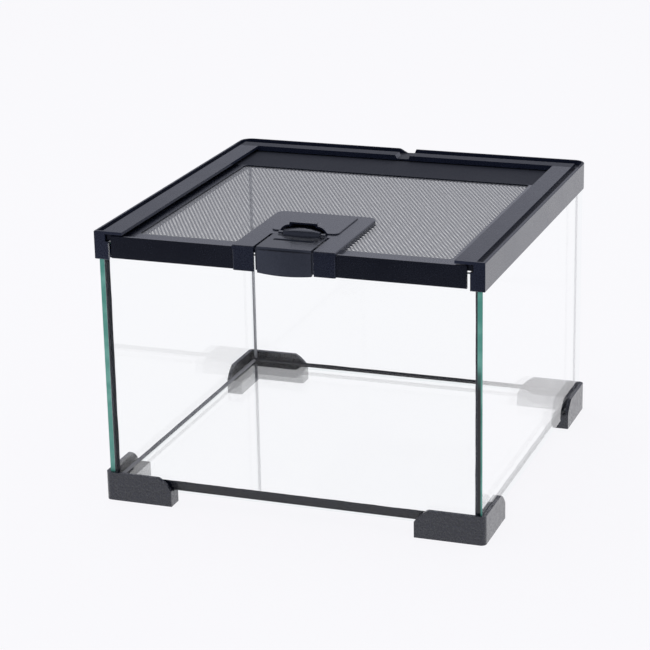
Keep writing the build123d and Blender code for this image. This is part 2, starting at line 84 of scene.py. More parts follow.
# Glass. A pane's fall is the power by which its mirroring fades away from grazing.
SIDE_FALL, RIGHT_FALL, CROSS_FALL, BASE_FALL = 6.0, 3.6, 6.0, 3.3
EDGE_STREAK, EDGE_RIPPLE = 0.012, 0.0012    # sizes of the unevenness in a cut edge
BACKED_TOP = 0.087          # below this height silicone stands behind the right pane's front edge
BACKED_BLUR = 0.009         # how softly that ends
BACKED_DRIFT = 0.006        # how unevenly that ends
BARE_TURN = (RIGHT_HIGH.x - 0.0012, RIGHT_HIGH.x - 0.0004)  # outside this the edge stays green

# Silicone
BEAD_STATION = 0.002        # length of a bead between two of its sections
BEAD_GAP = 0.00003          # between a bead and the glass that it sticks to
BEAD_ROUND = 0.68           # 0 for a flat bead, 1 for a full hollow
BEAD_STEPS = 6              # edges across a bead's hollow
SLOW_WAVE, QUICK_WAVE = 0.014, 0.004        # lengths of the unevenness along a bead
QUICK_SHARE = 0.4           # strength of the quick unevenness beside the slow one
SEAM_SEED, BASE_SEED = 9000.0, 40000.0      # give each bead its own stretch of the noise
FACE_SEEDS = (0.0, 7.0)     # and each of its two legs
RIPPLE_DEPTH = 0.0006       # height of the waves that a tool leaves
PATCH = 0.03                # size of the paler patches
PATCH_TONE = 1.8            # how many times paler they are
BASE_SLACK = 0.0001         # what still counts as inside, past the base pane's edges

# Plastic
CLOUD = 0.035               # size of the patches that shine unevenly
DUST_SPACING, DUST_RADIUS = 0.0045, 0.00028
DUST_CLOUD = 0.02           # size of the patches that are dusty
MOTTLE_GAIN = 2.5           # how much coarser and stronger the grain is where it is mottled
UPRIGHT_TONES, LEVEL_TONES = (0.6, 1.6), (0.8, 1.35)        # darkest and palest patches
RIDGE_BACK = FRAME_HIGH.y - 0.0165          # the frame's level faces are duller behind this
BAND_BACK = SCREEN_HIGH.y - 0.003           # and the lid's behind this
MATT_BLUR = 0.001           # how softly that starts
EVEN = (1.0, 0.0)           # nowhere duller: the place is far behind the tank

# Metal
RUBBED = 0.008              # size of the rubbed places on the screen
RUBBED_COLOUR = (0.24, 0.24, 0.26)
PIN_COLOUR = (0.42, 0.42, 0.43)
PIN_RINGS = 900.0           # scale of the rings that drawing leaves on the pin
STAGGER = 0.25              # rows of holes stand this share of the pitch right or left, in turn

# Stage. Camera and glass see white, while rough gloss sees a dim room beyond the bright table and
# a grey sheet above it. Each turn is where one colour changes into the next.
TABLE_RADIUS = 14.0
PAPER_DARK, PAPER_PALE = (0.88, 0.88, 0.89), (0.90, 0.90, 0.91)
PAPER_FLECK = 0.05          # size of the table's patches
ROOM_LEFT, ROOM_RIGHT, ROOM_TURN = (0.17, 0.17, 0.20), (0.05, 0.05, 0.065), (-0.35, -0.12)
TABLE_TURN = (-0.14, 0.06)  # from the place that White in front gives
SHEET_LEFT, SHEET_RIGHT, SHEET_TURN = (0.42, 0.43, 0.50), (0.62, 0.63, 0.72), (-0.55, -0.10)
SHEET_FRONT, FRONT_TURN = (0.10, 0.10, 0.12), (-0.55, 0.35)
SOFTBOX_PLACE, SOFTBOX_AIM, SOFTBOX_SIZE = (-0.35, 0.25, 1.3), (0.0, 0.0, 0.07), (1.1, 0.9)
SENSOR_WIDTH, LENS = 36.0, 125.0            # in millimetres
CAMERA_SHIFT, CAMERA_AIM = (-0.0032, -0.0054), (-0.0405, 0.0692, 0.0474)


# ---- node trees as Python expressions -----------------------------------------------------------
class Socket:
    """An output socket that can be used in arithmetic. Each operator adds its Math node."""

    def __init__(self, tree, socket):
        self.tree = tree
        self.socket = socket

    def math(self, operation, *values):
        settings = {"operation": operation}
        return self.tree.node("ShaderNodeMath", settings, dict(enumerate(values)))[0]

    def __add__(self, other):
        return self.math("ADD", self, other)

    def __sub__(self, other):
        return self.math("SUBTRACT", self, other)

    def __rsub__(self, other):
        return self.math("SUBTRACT", other, self)

    def __mul__(self, other):
        return self.math("MULTIPLY", self, other)

    def __pow__(self, other):
        return self.math("POWER", self, other)

    def __rpow__(self, other):
        return self.math("POWER", other, self)

    def __abs__(self):
        return self.math("ABSOLUTE", self)

    def __lt__(self, other):
        return self.math("LESS_THAN", self, other)

    def __gt__(self, other):
        return self.math("GREATER_THAN", self, other)

    __radd__ = __add__
    __rmul__ = __mul__

    def clamped(self):
        """The value, kept from 0 to 1."""
        return self.math("MAXIMUM", self.math("MINIMUM", self, 1.0), 0.0)

    def either(self, other):
        """The larger of two values, which joins two masks."""
        return self.math("MAXIMUM", self, other)

    def steps(self, low, high):
        """0 below low, 1 above high and a smooth rise between."""
        return self.tree.node(
            "ShaderNodeMapRange",
            {"interpolation_type": "SMOOTHSTEP"},
            {"Value": self, "From Min": low, "From Max": high},
        )[0]


class Tree:
    """A node tree that starts empty."""

    def __init__(self, owner):
        owner.use_nodes = True
        self.owner = owner
        self.nodes = owner.node_tree.nodes
        self.links = owner.node_tree.links
        self.nodes.clear()

    def node(self, kind, settings=None, inputs=None):
        """Adds a node, sets it up, then fills its sockets. The result's items are its outputs."""
        made = self.nodes.new(kind)
        for name, value in (settings or {}).items():
            setattr(made, name, value)
        for name, value in (inputs or {}).items():
            target = made.inputs[name]
            if isinstance(value, Socket):
                self.links.new(value.socket, target)
            elif hasattr(target.default_value, "__len__") and len(target.default_value) == 4:
                target.default_value = (*value[:3], 1.0)
            else:
                target.default_value = value
        return Outputs(self, made)

    def parts(self, vector):
        """A vector's parts, by the names X, Y and Z."""
        return self.node("ShaderNodeSeparateXYZ", None, {"Vector": vector})

    def blend(self, amount, low, high):
        """A colour between two others."""
        mixed = self.node(
            "ShaderNodeMix",
            {"data_type": "RGBA", "blend_type": "MIX"},
            {"Factor": amount, 6: low, 7: high},
        )
        return mixed[2]

    def cover(self, amount, below, above):
        """One shader over another."""
        return self.node("ShaderNodeMixShader", None, {0: amount, 1: below, 2: above})[0]

    def finish(self, shader):
        """Ends the tree, and gives back the material or world that it belongs to."""
        kind = "World" if isinstance(self.owner, bpy.types.World) else "Material"
        self.node("ShaderNodeOutput" + kind, None, {"Surface": shader})
        return self.owner


class Outputs:
    """A node's outputs, by name or number."""

    def __init__(self, tree, made):
        self.tree = tree
        self.made = made

    def __getitem__(self, key):
        return Socket(self.tree, self.made.outputs[key])


def new_finish(name):
    """The empty tree of a new material."""
    return Tree(bpy.data.materials.new(name))


def shade(colour, share):
    """A colour made darker or paler."""
    return [share * c for c in colour]


def noise(tree, place, size, detail=2.0, roughness=0.5):
    """Noise from 0 to 1 whose blobs are about size metres across."""
    return tree.node(
        "ShaderNodeTexNoise",
        None,
        {"Vector": place, "Scale": 1.0 / size, "Detail": detail, "Roughness": roughness},
    )[0]


def specks(tree, place, spacing, radius):
    """Small scattered dots, 1 inside and 0 outside."""
    cells = tree.node("ShaderNodeTexVoronoi", None, {"Vector": place, "Scale": 1.0 / spacing})
    return 1.0 - cells["Distance"].steps(0.5 * radius / spacing, radius / spacing)


# ---- sizes and colours that can be changed -------------------------------------------------------
class GlassLook(bpy.types.PropertyGroup):
    tint: FloatVectorProperty(
        name="Tint", description="What a pane lets through", subtype="COLOR",
        default=(0.996, 0.999, 0.998), min=0.0, max=1.0)
    edge: FloatVectorProperty(
        name="Cut edge", description="Colour of the cut edges", subtype="COLOR",
        default=(0.095, 0.34, 0.29), min=0.0, max=1.0)
    edge_light: FloatVectorProperty(
        name="Light in the edge", description="Paler streaks in the cut edges", subtype="COLOR",
        default=(0.20, 0.50, 0.44), min=0.0, max=1.0)
    edge_backed: FloatVectorProperty(
        name="Backed edge", description="Cut edge with black silicone behind it", subtype="COLOR",
        default=(0.007, 0.009, 0.013), min=0.0, max=1.0)
    edge_inside: FloatVectorProperty(
        name="Edge from inside", description="What a cut edge lets through from the inside",
        subtype="COLOR", default=(0.94, 0.96, 0.96), min=0.0, max=1.0)
    head_on: FloatProperty(
        name="Shine", description="Share of light that a face mirrors head on",
        default=0.012, min=0.0, max=1.0, subtype="FACTOR")


class SiliconeLook(bpy.types.PropertyGroup):
    colour: FloatVectorProperty(
        name="Colour", description="Cured black silicone", subtype="COLOR",
        default=(0.004, 0.005, 0.011), min=0.0, max=1.0)
    seam_colour: FloatVectorProperty(
        name="Front seams", description="Silicone of the two front corners", subtype="COLOR",
        default=(0.030, 0.032, 0.042), min=0.0, max=1.0)
    thin_colour: FloatVectorProperty(
        name="Thin bead", description="Silicone where it is thin enough to look grey",
        subtype="COLOR", default=(0.175, 0.175, 0.195), min=0.0, max=1.0)
    smear_colour: FloatVectorProperty(
        name="Smear", description="Silicone of the two back corners, no more than a smear",
        subtype="COLOR", default=(0.30, 0.30, 0.33), min=0.0, max=1.0)
    front_leg: FloatProperty(
        name="Front bead", description="Leg of the bead in the two front corners",
        default=0.0017, min=0.0003, unit="LENGTH")
    back_leg: FloatProperty(
        name="Back bead", description="Leg of the bead in the two back corners",
        default=0.0006, min=0.0002, unit="LENGTH")
    side_leg: FloatProperty(
        name="Side bead", description="Leg of the bead along the base's sides and back",
        default=0.0013, min=0.0003, unit="LENGTH")
    seen_depth: FloatProperty(
        name="Seen depth", description="How far down the base pane's edge looks black from inside",
        default=0.0009, min=0.0, unit="LENGTH")
    wobble: FloatProperty(
        name="Wobble", description="How unevenly the beads were drawn, as a share of their leg",
        default=0.10, min=0.0, max=0.5, subtype="FACTOR")
    roughness: FloatProperty(
        name="Roughness", description="How dull the bead is", default=0.32, min=0.0, max=1.0,
        subtype="FACTOR")
    ripple: FloatProperty(
        name="Ripple", description="Length of the waves that a tool leaves in the bead",
        default=0.006, min=0.0005, unit="LENGTH")


class PlasticLook(bpy.types.PropertyGroup):
    lid_colour: FloatVectorProperty(
        name="Lid plastic", description="Moulded black plastic of the frame and lid",
        subtype="COLOR", default=(0.0032, 0.0044, 0.0100), min=0.0, max=1.0)
    lid_roughness: FloatProperty(
        name="Lid roughness", description="How dull the frame and lid are", default=0.28, min=0.0,
        max=1.0, subtype="FACTOR")
    foot_colour: FloatVectorProperty(
        name="Foot plastic", description="Moulded black plastic of the feet", subtype="COLOR",
        default=(0.0100, 0.0115, 0.0200), min=0.0, max=1.0)
    foot_roughness: FloatProperty(
        name="Foot roughness", description="How dull the feet are", default=0.34, min=0.0, max=1.0,
        subtype="FACTOR")
    cast: FloatVectorProperty(
        name="Cast", description="Cool tint of the plastic's shine", subtype="COLOR",
        default=(0.80, 0.84, 1.0), min=0.0, max=1.0)
    latch_colour: FloatVectorProperty(
        name="Latch plastic", description="Moulded black plastic of the latch", subtype="COLOR",
        default=(0.0085, 0.0095, 0.0135), min=0.0, max=1.0)
    grain: FloatProperty(
        name="Grain", description="Size of the moulded texture", default=0.0005, min=0.0001,
        unit="LENGTH")
    dust: FloatVectorProperty(
        name="Dust", description="Colour of the fine dust", subtype="COLOR",
        default=(0.10, 0.10, 0.11), min=0.0, max=1.0)


class ScreenLook(bpy.types.PropertyGroup):
    pitch: FloatProperty(
        name="Pitch", description="Hole to hole along a row", default=0.00210, min=0.0005,
        unit="LENGTH")
    web: FloatProperty(
        name="Web", description="Metal between two holes", default=0.00088, min=0.0001,
        unit="LENGTH")
    thickness: FloatProperty(
        name="Thickness", description="Thickness of the perforated sheet", default=0.00016,
        min=0.00005, unit="LENGTH")
    margin: FloatProperty(
        name="Margin", description="Plain edge outside the holes", default=0.0022, min=0.0,
        unit="LENGTH")
    colour: FloatVectorProperty(
        name="Coating", description="Dark grey coating of the metal", subtype="COLOR",
        default=(0.195, 0.200, 0.225), min=0.0, max=1.0)


class StageLook(bpy.types.PropertyGroup):
    backdrop: FloatVectorProperty(
        name="Backdrop", description="White of the backdrop", subtype="COLOR",
        default=(0.965, 0.96, 0.99), min=0.0, max=1.0)
    ambient: FloatProperty(
        name="Ambient", description="Soft light from all round", default=0.70, min=0.0)
    softbox: FloatProperty(
        name="Softbox", description="Power of the large lamp above", default=5.0, min=0.0,
        unit="POWER")
    evenness: FloatProperty(
        name="Evenness", description="How far the camera sees the table as plain white",
        default=0.93, min=0.0, max=1.0, subtype="FACTOR")
    white_reach: FloatProperty(
        name="White in front", description="How far the bright table reaches in front of the tank",
        default=0.24, min=0.0, unit="LENGTH")
    azimuth: FloatProperty(
        name="Azimuth", description="Camera's angle round the tank",
        default=math.radians(20.08), subtype="ANGLE")
    elevation: FloatProperty(
        name="Elevation", description="Camera's angle above the table",
        default=math.radians(18.26), subtype="ANGLE")
    roll: FloatProperty(
        name="Roll", description="Camera's tilt", default=math.radians(-1.16), subtype="ANGLE")
    distance: FloatProperty(
        name="Distance", description="Camera to the point that it looks at", default=1.272,
        min=0.1, unit="LENGTH")


GROUPS = {
    "terrarium_glass": GlassLook,
    "terrarium_silicone": SiliconeLook,
    "terrarium_plastic": PlasticLook,
    "terrarium_screen": ScreenLook,
    "terrarium_stage": StageLook,
}


def dress(finish, *nodes):
    """Gives CAD nodes a finish through their material slots."""
    for name in nodes:
        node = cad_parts[name]
        node.data.materials.clear()
        node.data.materials.append(finish)


# ---- finishes ------------------------------------------------------------------------------------
def mirror_share(tree, head_on, fall):
    """How much a clear surface mirrors, from head on to grazing, the same from both sides."""
    slant = tree.node("ShaderNodeLayerWeight", None, {"Blend": 0.5})["Facing"]
    return head_on + (1.0 - head_on) * slant ** fall


def clear_face(tree, look, fall):
    """A see-through surface that mirrors more the flatter one looks along it."""
    clear = tree.node("ShaderNodeBsdfTransparent", None, {"Color": look.tint})[0]
    shine = tree.node("ShaderNodeBsdfGlossy", None, {"Color": WHITE, "Roughness": 0.0})[0]
    return tree.cover(mirror_share(tree, look.head_on, fall), clear, shine)


def pane_finish(look, name, across, fall, backed=False, sealed=None):
    """Clear float glass with green cut edges.

    across is the axis through the pane: X, Y or Z. fall tells how fast the mirroring fades away
    from grazing. A backed pane has black silicone behind the lower part of its front edge. sealed
    is the axis of the cut edges that lie in silicone, which wets them and so shows through.
    """
    tree = new_finish(name)
    coords = tree.node("ShaderNodeTexCoord")
    facing = tree.parts(coords["Normal"])
    is_edge = abs(facing[across]) < 0.5
    inside = tree.node("ShaderNodeNewGeometry")["Backfacing"]
    streak = noise(tree, coords["Object"], EDGE_STREAK, detail=3.0)
    ripple = noise(tree, coords["Object"], EDGE_RIPPLE, detail=1.0)
    colour = tree.blend(streak.steps(0.42, 0.75), look.edge, look.edge_light)
    if backed:
        place = tree.parts(coords["Object"])
        height = place["Z"] + BACKED_DRIFT * (streak - 0.5)
        below = 1.0 - height.steps(BACKED_TOP - BACKED_BLUR, BACKED_TOP + BACKED_BLUR)
        beside = 1.0 - place["X"].steps(*BARE_TURN)
        colour = tree.blend(below * beside, colour, look.edge_backed)
    edge = tree.node(
        "ShaderNodeBsdfPrincipled",
        None,
        {"Base Color": colour, "Roughness": 0.14 + 0.10 * ripple},
    )[0]
    edge_inside = tree.node("ShaderNodeBsdfTransparent", None, {"Color": look.edge_inside})[0]
    if sealed:
        inside = inside.either(abs(facing[sealed]) > 0.5)
    rim = tree.cover(inside, edge, edge_inside)
    return tree.finish(tree.cover(is_edge, clear_face(tree, look, fall), rim))


def silicone_finish(look, name, colour, skirted=False):
    """Silicone, tooled smooth with slight ripples.

    A skirted bead also fills the joint beside the base pane. Seen from inside, the glass shows
    only the top of that joint, so the rest of it is clear from there and black from outside.
    """
    tree = new_finish(name)
    place = tree.node("ShaderNodeTexCoord")["Object"]
    ripple = noise(tree, place, look.ripple)
    patch = noise(tree, place, PATCH, detail=3.0)
    bump = tree.node(
        "ShaderNodeBump",
        None,
        {"Strength": 0.35, "Distance": RIPPLE_DEPTH, "Height": ripple},
    )["Normal"]
    paint = tree.blend(patch, colour, shade(colour, PATCH_TONE))
    if skirted:
        parts = tree.parts(place)
        paint = tree.blend(parts["Z"] < BASE_HIGH.z, paint, look.colour)
    shader = tree.node(
        "ShaderNodeBsdfPrincipled",
        None,
        {
            "Base Color": paint,
            "Roughness": look.roughness + 0.16 * (patch - 0.5),
            "Specular IOR Level": 0.35,
            "Normal": bump,
        },
    )[0]
    if skirted:
        reach_x, reach_y = BASE_HIGH.x + BASE_SLACK, BASE_HIGH.y + BASE_SLACK
        inner = (abs(parts["X"]) < reach_x) * (abs(parts["Y"]) < reach_y)
        unseen = inner.either(tree.node("ShaderNodeNewGeometry")["Backfacing"])
        unseen = unseen * (parts["Z"] < BASE_HIGH.z - look.seen_depth)
        shader = tree.cover(unseen, shader, tree.node("ShaderNodeBsdfTransparent")[0])
    return tree.finish(shader)


def plastic_finish(
        look, name, colour, roughness, relief=0.10, polish=(0.0, 0.0), matt=EVEN, upright_painted_light=1.0,
        mottle=0.10, depth=0.0002):
    """Injection-moulded black plastic: fine grain, uneven shine and a little dust.

    relief and depth are the strength and depth of the grain, and mottle is how unevenly it
    shines. polish is the clear shine of the upright and of the level faces. matt is the place
    along Y behind which the level faces were left duller, and by how much. The argument after
    matt is how many times paler the upright faces are painted: painted light, standing in for the
    light that falls on them.
    """
    tree = new_finish(name)
    coords = tree.node("ShaderNodeTexCoord")
    place = coords["Object"]
    gain = MOTTLE_GAIN * mottle
    grain_size = look.grain * (1.0 + gain)
    grain = noise(tree, place, grain_size, detail=3.0, roughness=0.6).steps(0.3, 0.7)
    cloud = noise(tree, place, CLOUD, detail=4.0, roughness=0.55)
    dust = specks(tree, place, DUST_SPACING, DUST_RADIUS)
    dust = dust * noise(tree, place, DUST_CLOUD).steps(0.45, 0.7)
    bump = tree.node(
        "ShaderNodeBump", None, {"Strength": relief, "Distance": depth, "Height": grain})["Normal"]
    level = tree.parts(coords["Normal"])["Z"].steps(0.3, 0.9)
    patch = (cloud + gain * (grain - 0.5)).clamped()
    # Painted light: upright faces are painted some times paler than level ones, in place of the
    # light that falls on them.
    tone_and_painted_light = tree.blend(
        level,
        tree.blend(patch, *(shade(colour, tone * upright_painted_light) for tone in UPRIGHT_TONES)),
        tree.blend(patch, *(shade(colour, tone) for tone in LEVEL_TONES)),
    )
    matt_from, dulling = matt
    behind = tree.parts(place)["Y"].steps(matt_from - MATT_BLUR, matt_from + MATT_BLUR) * level
    upright_shine, level_shine = polish
    shine = (upright_shine + (level_shine - upright_shine) * level) * (1.0 - behind)
    uneven = 0.14 * (cloud - 0.5) + mottle * (grain - 0.5) + 0.25 * dust
    shader = tree.node(
        "ShaderNodeBsdfPrincipled",
        None,
        {
            "Base Color": tree.blend(dust * 0.5, tone_and_painted_light, look.dust),
            "Roughness": (roughness + uneven + dulling * behind).clamped(),
            "Specular Tint": look.cast,
            "Coat Weight": shine,
            "Coat Roughness": 0.12,
            "Normal": bump,
        },
    )[0]
    return tree.finish(shader)


def coated_metal_finish(look):
    """Thin dark grey coating on steel, with metal showing through in rubbed places."""
    tree = new_finish("screen_metal")
    place = tree.node("ShaderNodeTexCoord")["Object"]
    rubbed = noise(tree, place, RUBBED, detail=4.0).steps(0.60, 0.78)
    shader = tree.node(
        "ShaderNodeBsdfPrincipled",
        None,
        {
            "Base Color": tree.blend(rubbed, look.colour, RUBBED_COLOUR),
            "Metallic": 0.35 * rubbed,
            "Roughness": 0.48 - 0.10 * rubbed,
        },
    )[0]
    return tree.finish(shader)


def bright_steel_finish():
    """Drawn steel of the hinge pin, with fine rings from drawing."""
    tree = new_finish("pin_steel")
    place = tree.node("ShaderNodeTexCoord")["Object"]
    rings = tree.node(
        "ShaderNodeTexWave",
        {"bands_direction": "X"},
        {"Vector": place, "Scale": PIN_RINGS, "Distortion": 2.0},
    )[1]
    shader = tree.node(
        "ShaderNodeBsdfPrincipled",
        None,
        {"Base Color": PIN_COLOUR, "Metallic": 1.0, "Roughness": 0.25 + 0.12 * rings},
    )[0]
    return tree.finish(shader)


# ---- pieces --------------------------------------------------------------------------------------
def add_piece(name, mesh_maker, finish, body):
    """Makes a mesh object, gives it its finish and lets it ride on its body."""
    mesh = bpy.data.meshes.new(name)
    shape = bmesh.new()
    mesh_maker(shape)
    bmesh.ops.recalc_face_normals(shape, faces=shape.faces)
    shape.to_mesh(mesh)
    shape.free()
    mesh.materials.append(finish)
    piece = bpy.data.objects.new(name, mesh)
    bpy.context.scene.collection.objects.link(piece)
    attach(piece, body)
    return piece


def uneven_leg(leg, wobble, place, seed, face):
    """A bead's leg on one of its two faces, at a place along it."""
    slow = vector_noise.noise(Vector((place / SLOW_WAVE, seed, face)))
    quick = vector_noise.noise(Vector((place / QUICK_WAVE, seed, face + 3.0)))
    return leg * (1.0 + wobble * (slow + QUICK_SHARE * quick))


def add_bead(shape, start, end, into_a, into_b, leg, wobble, seed, skirt=None):
    """A hollow bead along an inside corner. into_a and into_b point away from the two faces.

    skirt is the width and depth of the joint that the same silicone fills under the bead.
    """
    into_a, into_b = Vector(into_a), Vector(into_b)
    along = (Vector(end) - Vector(start)).normalized()
    start, end = Vector(start) + BEAD_GAP * along, Vector(end) - BEAD_GAP * along
    count = max(2, round((end - start).length / BEAD_STATION))
    rings = []
    for station in range(count + 1):
        base = start.lerp(end, station / count) + BEAD_GAP * (into_a + into_b)
        place = station * BEAD_STATION
        legs = [uneven_leg(leg, wobble, place, seed, face) for face in FACE_SEEDS]
        section = []
        for step in range(BEAD_STEPS + 1):
            share = step / BEAD_STEPS
            turn = share * math.pi / 2.0
            across = (1.0 - share) * (1.0 - BEAD_ROUND) + (1.0 - math.sin(turn)) * BEAD_ROUND
            up = share * (1.0 - BEAD_ROUND) + (1.0 - math.cos(turn)) * BEAD_ROUND
            section.append(base + into_a * legs[0] * across + into_b * legs[1] * up)
        if skirt:
            width, depth = skirt[0] - 2.0 * BEAD_GAP, skirt[1]
            section.append(base - into_b * depth)
            section.append(base - into_b * depth + into_a * width)
            section.append(base + into_a * width)
        else:
            section.append(base)
        rings.append([shape.verts.new(point) for point in section])
    for ring, following in zip(rings, rings[1:]):
        for k in range(len(ring)):
            after = (k + 1) % len(ring)
            shape.faces.new((ring[k], ring[after], following[after], following[k]))
    shape.faces.new(rings[0])
    shape.faces.new(list(reversed(rings[-1])))


def add_block(shape, low, high):
    """The plain strip of silicone between a side pane and the end of a cross pane."""
    made = bmesh.ops.create_cube(shape, size=1.0)["verts"]
    for vert in made:
        vert.co = Vector(
            (low[k] + BEAD_GAP if vert.co[k] < 0.0 else high[k] - BEAD_GAP) for k in range(3))


def screen_cells(look, low, high):
    """Centres of the holes as {(row, column): (x, y)}, in staggered rows."""
    row_step = look.pitch * math.sqrt(3.0) / 2.0
    rows = int((high.y - low.y - 2.0 * look.margin) / row_step)
    columns = int((high.x - low.x - 2.0 * look.margin) / look.pitch - 2.0 * STAGGER)
    middle_x = (low.x + high.x) / 2.0
    middle_y = (low.y + high.y) / 2.0
    cells = {}
    for row in range(rows):
        stagger = STAGGER if row % 2 else -STAGGER
        for column in range(columns):
            x = middle_x + (column - (columns - 1) / 2.0 + stagger) * look.pitch
            y = middle_y + (row - (rows - 1) / 2.0) * row_step
            cells[row, column] = (x, y)
    return cells


def fine_screen(look, low, high):
    """A bmesh maker for the perforated sheet: six-sided holes, their webs and a plain rim."""
    top_z = (low.z + high.z + look.thickness) / 2.0
    cells = screen_cells(look, low, high)
    rows = 1 + max(row for row, _ in cells)
    columns = 1 + max(column for _, column in cells)
    reach = (look.pitch - look.web) / math.sqrt(3.0)

    def make(shape):
        rings = {}
        for key, (x, y) in cells.items():
            rings[key] = [
                [
                    shape.verts.new((
                        x + reach * math.cos(math.radians(30 + 60 * corner)),
                        y + reach * math.sin(math.radians(30 + 60 * corner)),
                        z,
                    ))
                    for corner in range(6)
                ]
                for z in (top_z, top_z - look.thickness)
            ]
        for (row, column), (top, bottom) in rings.items():
            for k in range(6):
                shape.faces.new((top[k], bottom[k], bottom[(k + 1) % 6], top[(k + 1) % 6]))
            shift = 1 if row % 2 else 0
            right = (row, column + 1)
            up_right = (row + 1, column + shift)
            up_left = (row + 1, column + shift - 1)
            here = (row, column)
            webs = (
                ((here, 0), (here, 5), (right, 3), (right, 2)),
                ((here, 0), (up_right, 4), (up_right, 3), (here, 1)),
                ((here, 1), (up_left, 5), (up_left, 4), (here, 2)),
                ((here, 0), (right, 2), (up_right, 4)),
                ((here, 1), (up_right, 3), (up_left, 5)),
            )
            for level in (0, 1):
                for web in webs:
                    if all(cell in rings for cell, _ in web):
                        shape.faces.new([rings[cell][level][corner] for cell, corner in web])
        add_rim(shape, rings, rows, columns, low, high)

    return make


def add_rim(shape, rings, rows, columns, low, high):
    """The plain rim from the outermost holes to the sheet's edge, level by level."""
    sides = (
        ([(0, column) for column in range(columns)], (3, 4, 5)),
        ([(row, columns - 1) for row in range(rows)], (5, 0)),
        ([(rows - 1, column) for column in reversed(range(columns))], (0, 1, 2)),
        ([(row, 0) for row in reversed(range(rows))], (2, 3)),
    )
    for level in (0, 1):
        front, right, back, left = (
            [rings[cell][level][corner] for cell in cells for corner in corners]
            for cells, corners in sides
        )
        loop = []
        for vert in front + right + back + left:
            if not loop or vert is not loop[-1]:
                loop.append(vert)
        if loop[0] is loop[-1]:
            loop.pop()
        outer = []
        for vert in loop:
            x, y, z = vert.co
            if vert in front:
                y = low.y
            elif vert in right:
                x = high.x
            elif vert in back:
                y = high.y
            else:
                x = low.x
            outer.append(shape.verts.new((x, y, z)))
        count = len(loop)
        for k in range(count):
            following = (k + 1) % count
            shape.faces.new((loop[k], outer[k], outer[following], loop[following]))


# ---- operators -----------------------------------------------------------------------------------
class TERRARIUM_OT_glass(bpy.types.Operator):
    """Dresses the five panes as clear glass with green cut edges"""

    bl_idname = "terrarium.glass"
    bl_label = "Glass panes"

    def execute(self, context):
        look = context.scene.terrarium_glass
        dress(pane_finish(look, "glass_left_pane", "X", SIDE_FALL), "left_glass")
        dress(pane_finish(look, "glass_right_pane", "X", RIGHT_FALL, backed=True), "right_glass")
        cross = pane_finish(look, "glass_cross_panes", "Y", CROSS_FALL, sealed="X")
        dress(cross, "front_glass", "back_glass")
        dress(pane_finish(look, "glass_base_pane", "Z", BASE_FALL), "base_glass")
        return {"FINISHED"}


class TERRARIUM_OT_silicone(bpy.types.Operator):
    """Draws the tooled silicone beads in the corners and round the base"""

    bl_idname = "terrarium.silicone"
    bl_label = "Silicone seams"

    def execute(self, context):
        look = context.scene.terrarium_silicone
        black = silicone_finish(look, "black_silicone", look.colour, skirted=True)
        seam = silicone_finish(look, "seam_silicone", look.seam_colour)
        thin = silicone_finish(look, "thin_silicone", look.thin_colour, skirted=True)
        smear = silicone_finish(look, "smeared_silicone", look.smear_colour)
        self.corner_seams(look, seam, smear)
        self.base_beads(look, black, thin)
        return {"FINISHED"}

    def corner_seams(self, look, seam, smear):
        """The four upright seams: a strip between the panes and a bead in the inside corner."""
        for end, face_y, pane, into_y, finish in (
            ("front", FRONT_HIGH.y, (FRONT_LOW.y, FRONT_HIGH.y), 1.0, seam),
            ("back", BACK_LOW.y, (BACK_LOW.y, BACK_HIGH.y), -1.0, smear),
        ):
            for side, face_x, into_x in (("left", LEFT_HIGH.x, 1.0), ("right", RIGHT_LOW.x, -1.0)):
                node = f"seam_{end}_{side}"
                low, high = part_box(node)
                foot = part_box("base_bead_" + end)[1].z
                joint_x = FRONT_LOW.x if side == "left" else FRONT_HIGH.x
                leg = look.front_leg if end == "front" else look.back_leg

                def make(shape):
                    add_block(
                        shape,
                        (min(face_x, joint_x), pane[0], low.z),
                        (max(face_x, joint_x), pane[1], high.z),
                    )
                    add_bead(
                        shape, (face_x, face_y, foot), (face_x, face_y, high.z),
                        (into_x, 0.0, 0.0), (0.0, into_y, 0.0), leg, look.wobble,
                        face_x * face_y * SEAM_SEED)

                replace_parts(add_piece("tooled_" + node, make, finish, "tank"), node)

    def base_beads(self, look, black, thin):
        """The four beads round the base pane, which also fill the joints beside it."""
        left, right = LEFT_HIGH.x, RIGHT_LOW.x
        front, back, top = FRONT_HIGH.y, BACK_LOW.y, BASE_HIGH.z
        front_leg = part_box("base_bead_front")[1].z - top
        side_front, side_back = front + front_leg, back - look.side_leg
        skirt = (BASE_LOW.x - left, top - BASE_LOW.z)
        for side, start, end, into, leg, finish in (
            ("front", (left, front, top), (right, front, top), (0.0, 1.0, 0.0), front_leg, black),
            ("back", (left, back, top), (right, back, top), (0.0, -1.0, 0.0), look.side_leg, black),
            ("left", (left, side_front, top), (left, side_back, top), (1.0, 0.0, 0.0),
             look.side_leg, thin),
            ("right", (right, side_front, top), (right, side_back, top), (-1.0, 0.0, 0.0),
             look.side_leg, thin),
        ):
            node = "base_bead_" + side

            def make(shape):
                add_bead(
                    shape, start, end, into, (0.0, 0.0, 1.0), leg, look.wobble,
                    leg * BASE_SEED, skirt)

            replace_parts(add_piece("tooled_" + node, make, finish, "tank"), node)


class TERRARIUM_OT_feet(bpy.types.Operator):
    """Dresses the four corner feet as moulded plastic"""

    bl_idname = "terrarium.feet"
    bl_label = "Corner feet"

    def execute(self, context):
        look = context.scene.terrarium_plastic
        feet = [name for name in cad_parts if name.startswith("foot_")]
        finish = plastic_finish(
            look, "foot_plastic", look.foot_colour, look.foot_roughness, relief=0.9,
            polish=(0.75, 0.40), mottle=0.45, depth=0.0006)
        dress(finish, *feet)
        return {"FINISHED"}


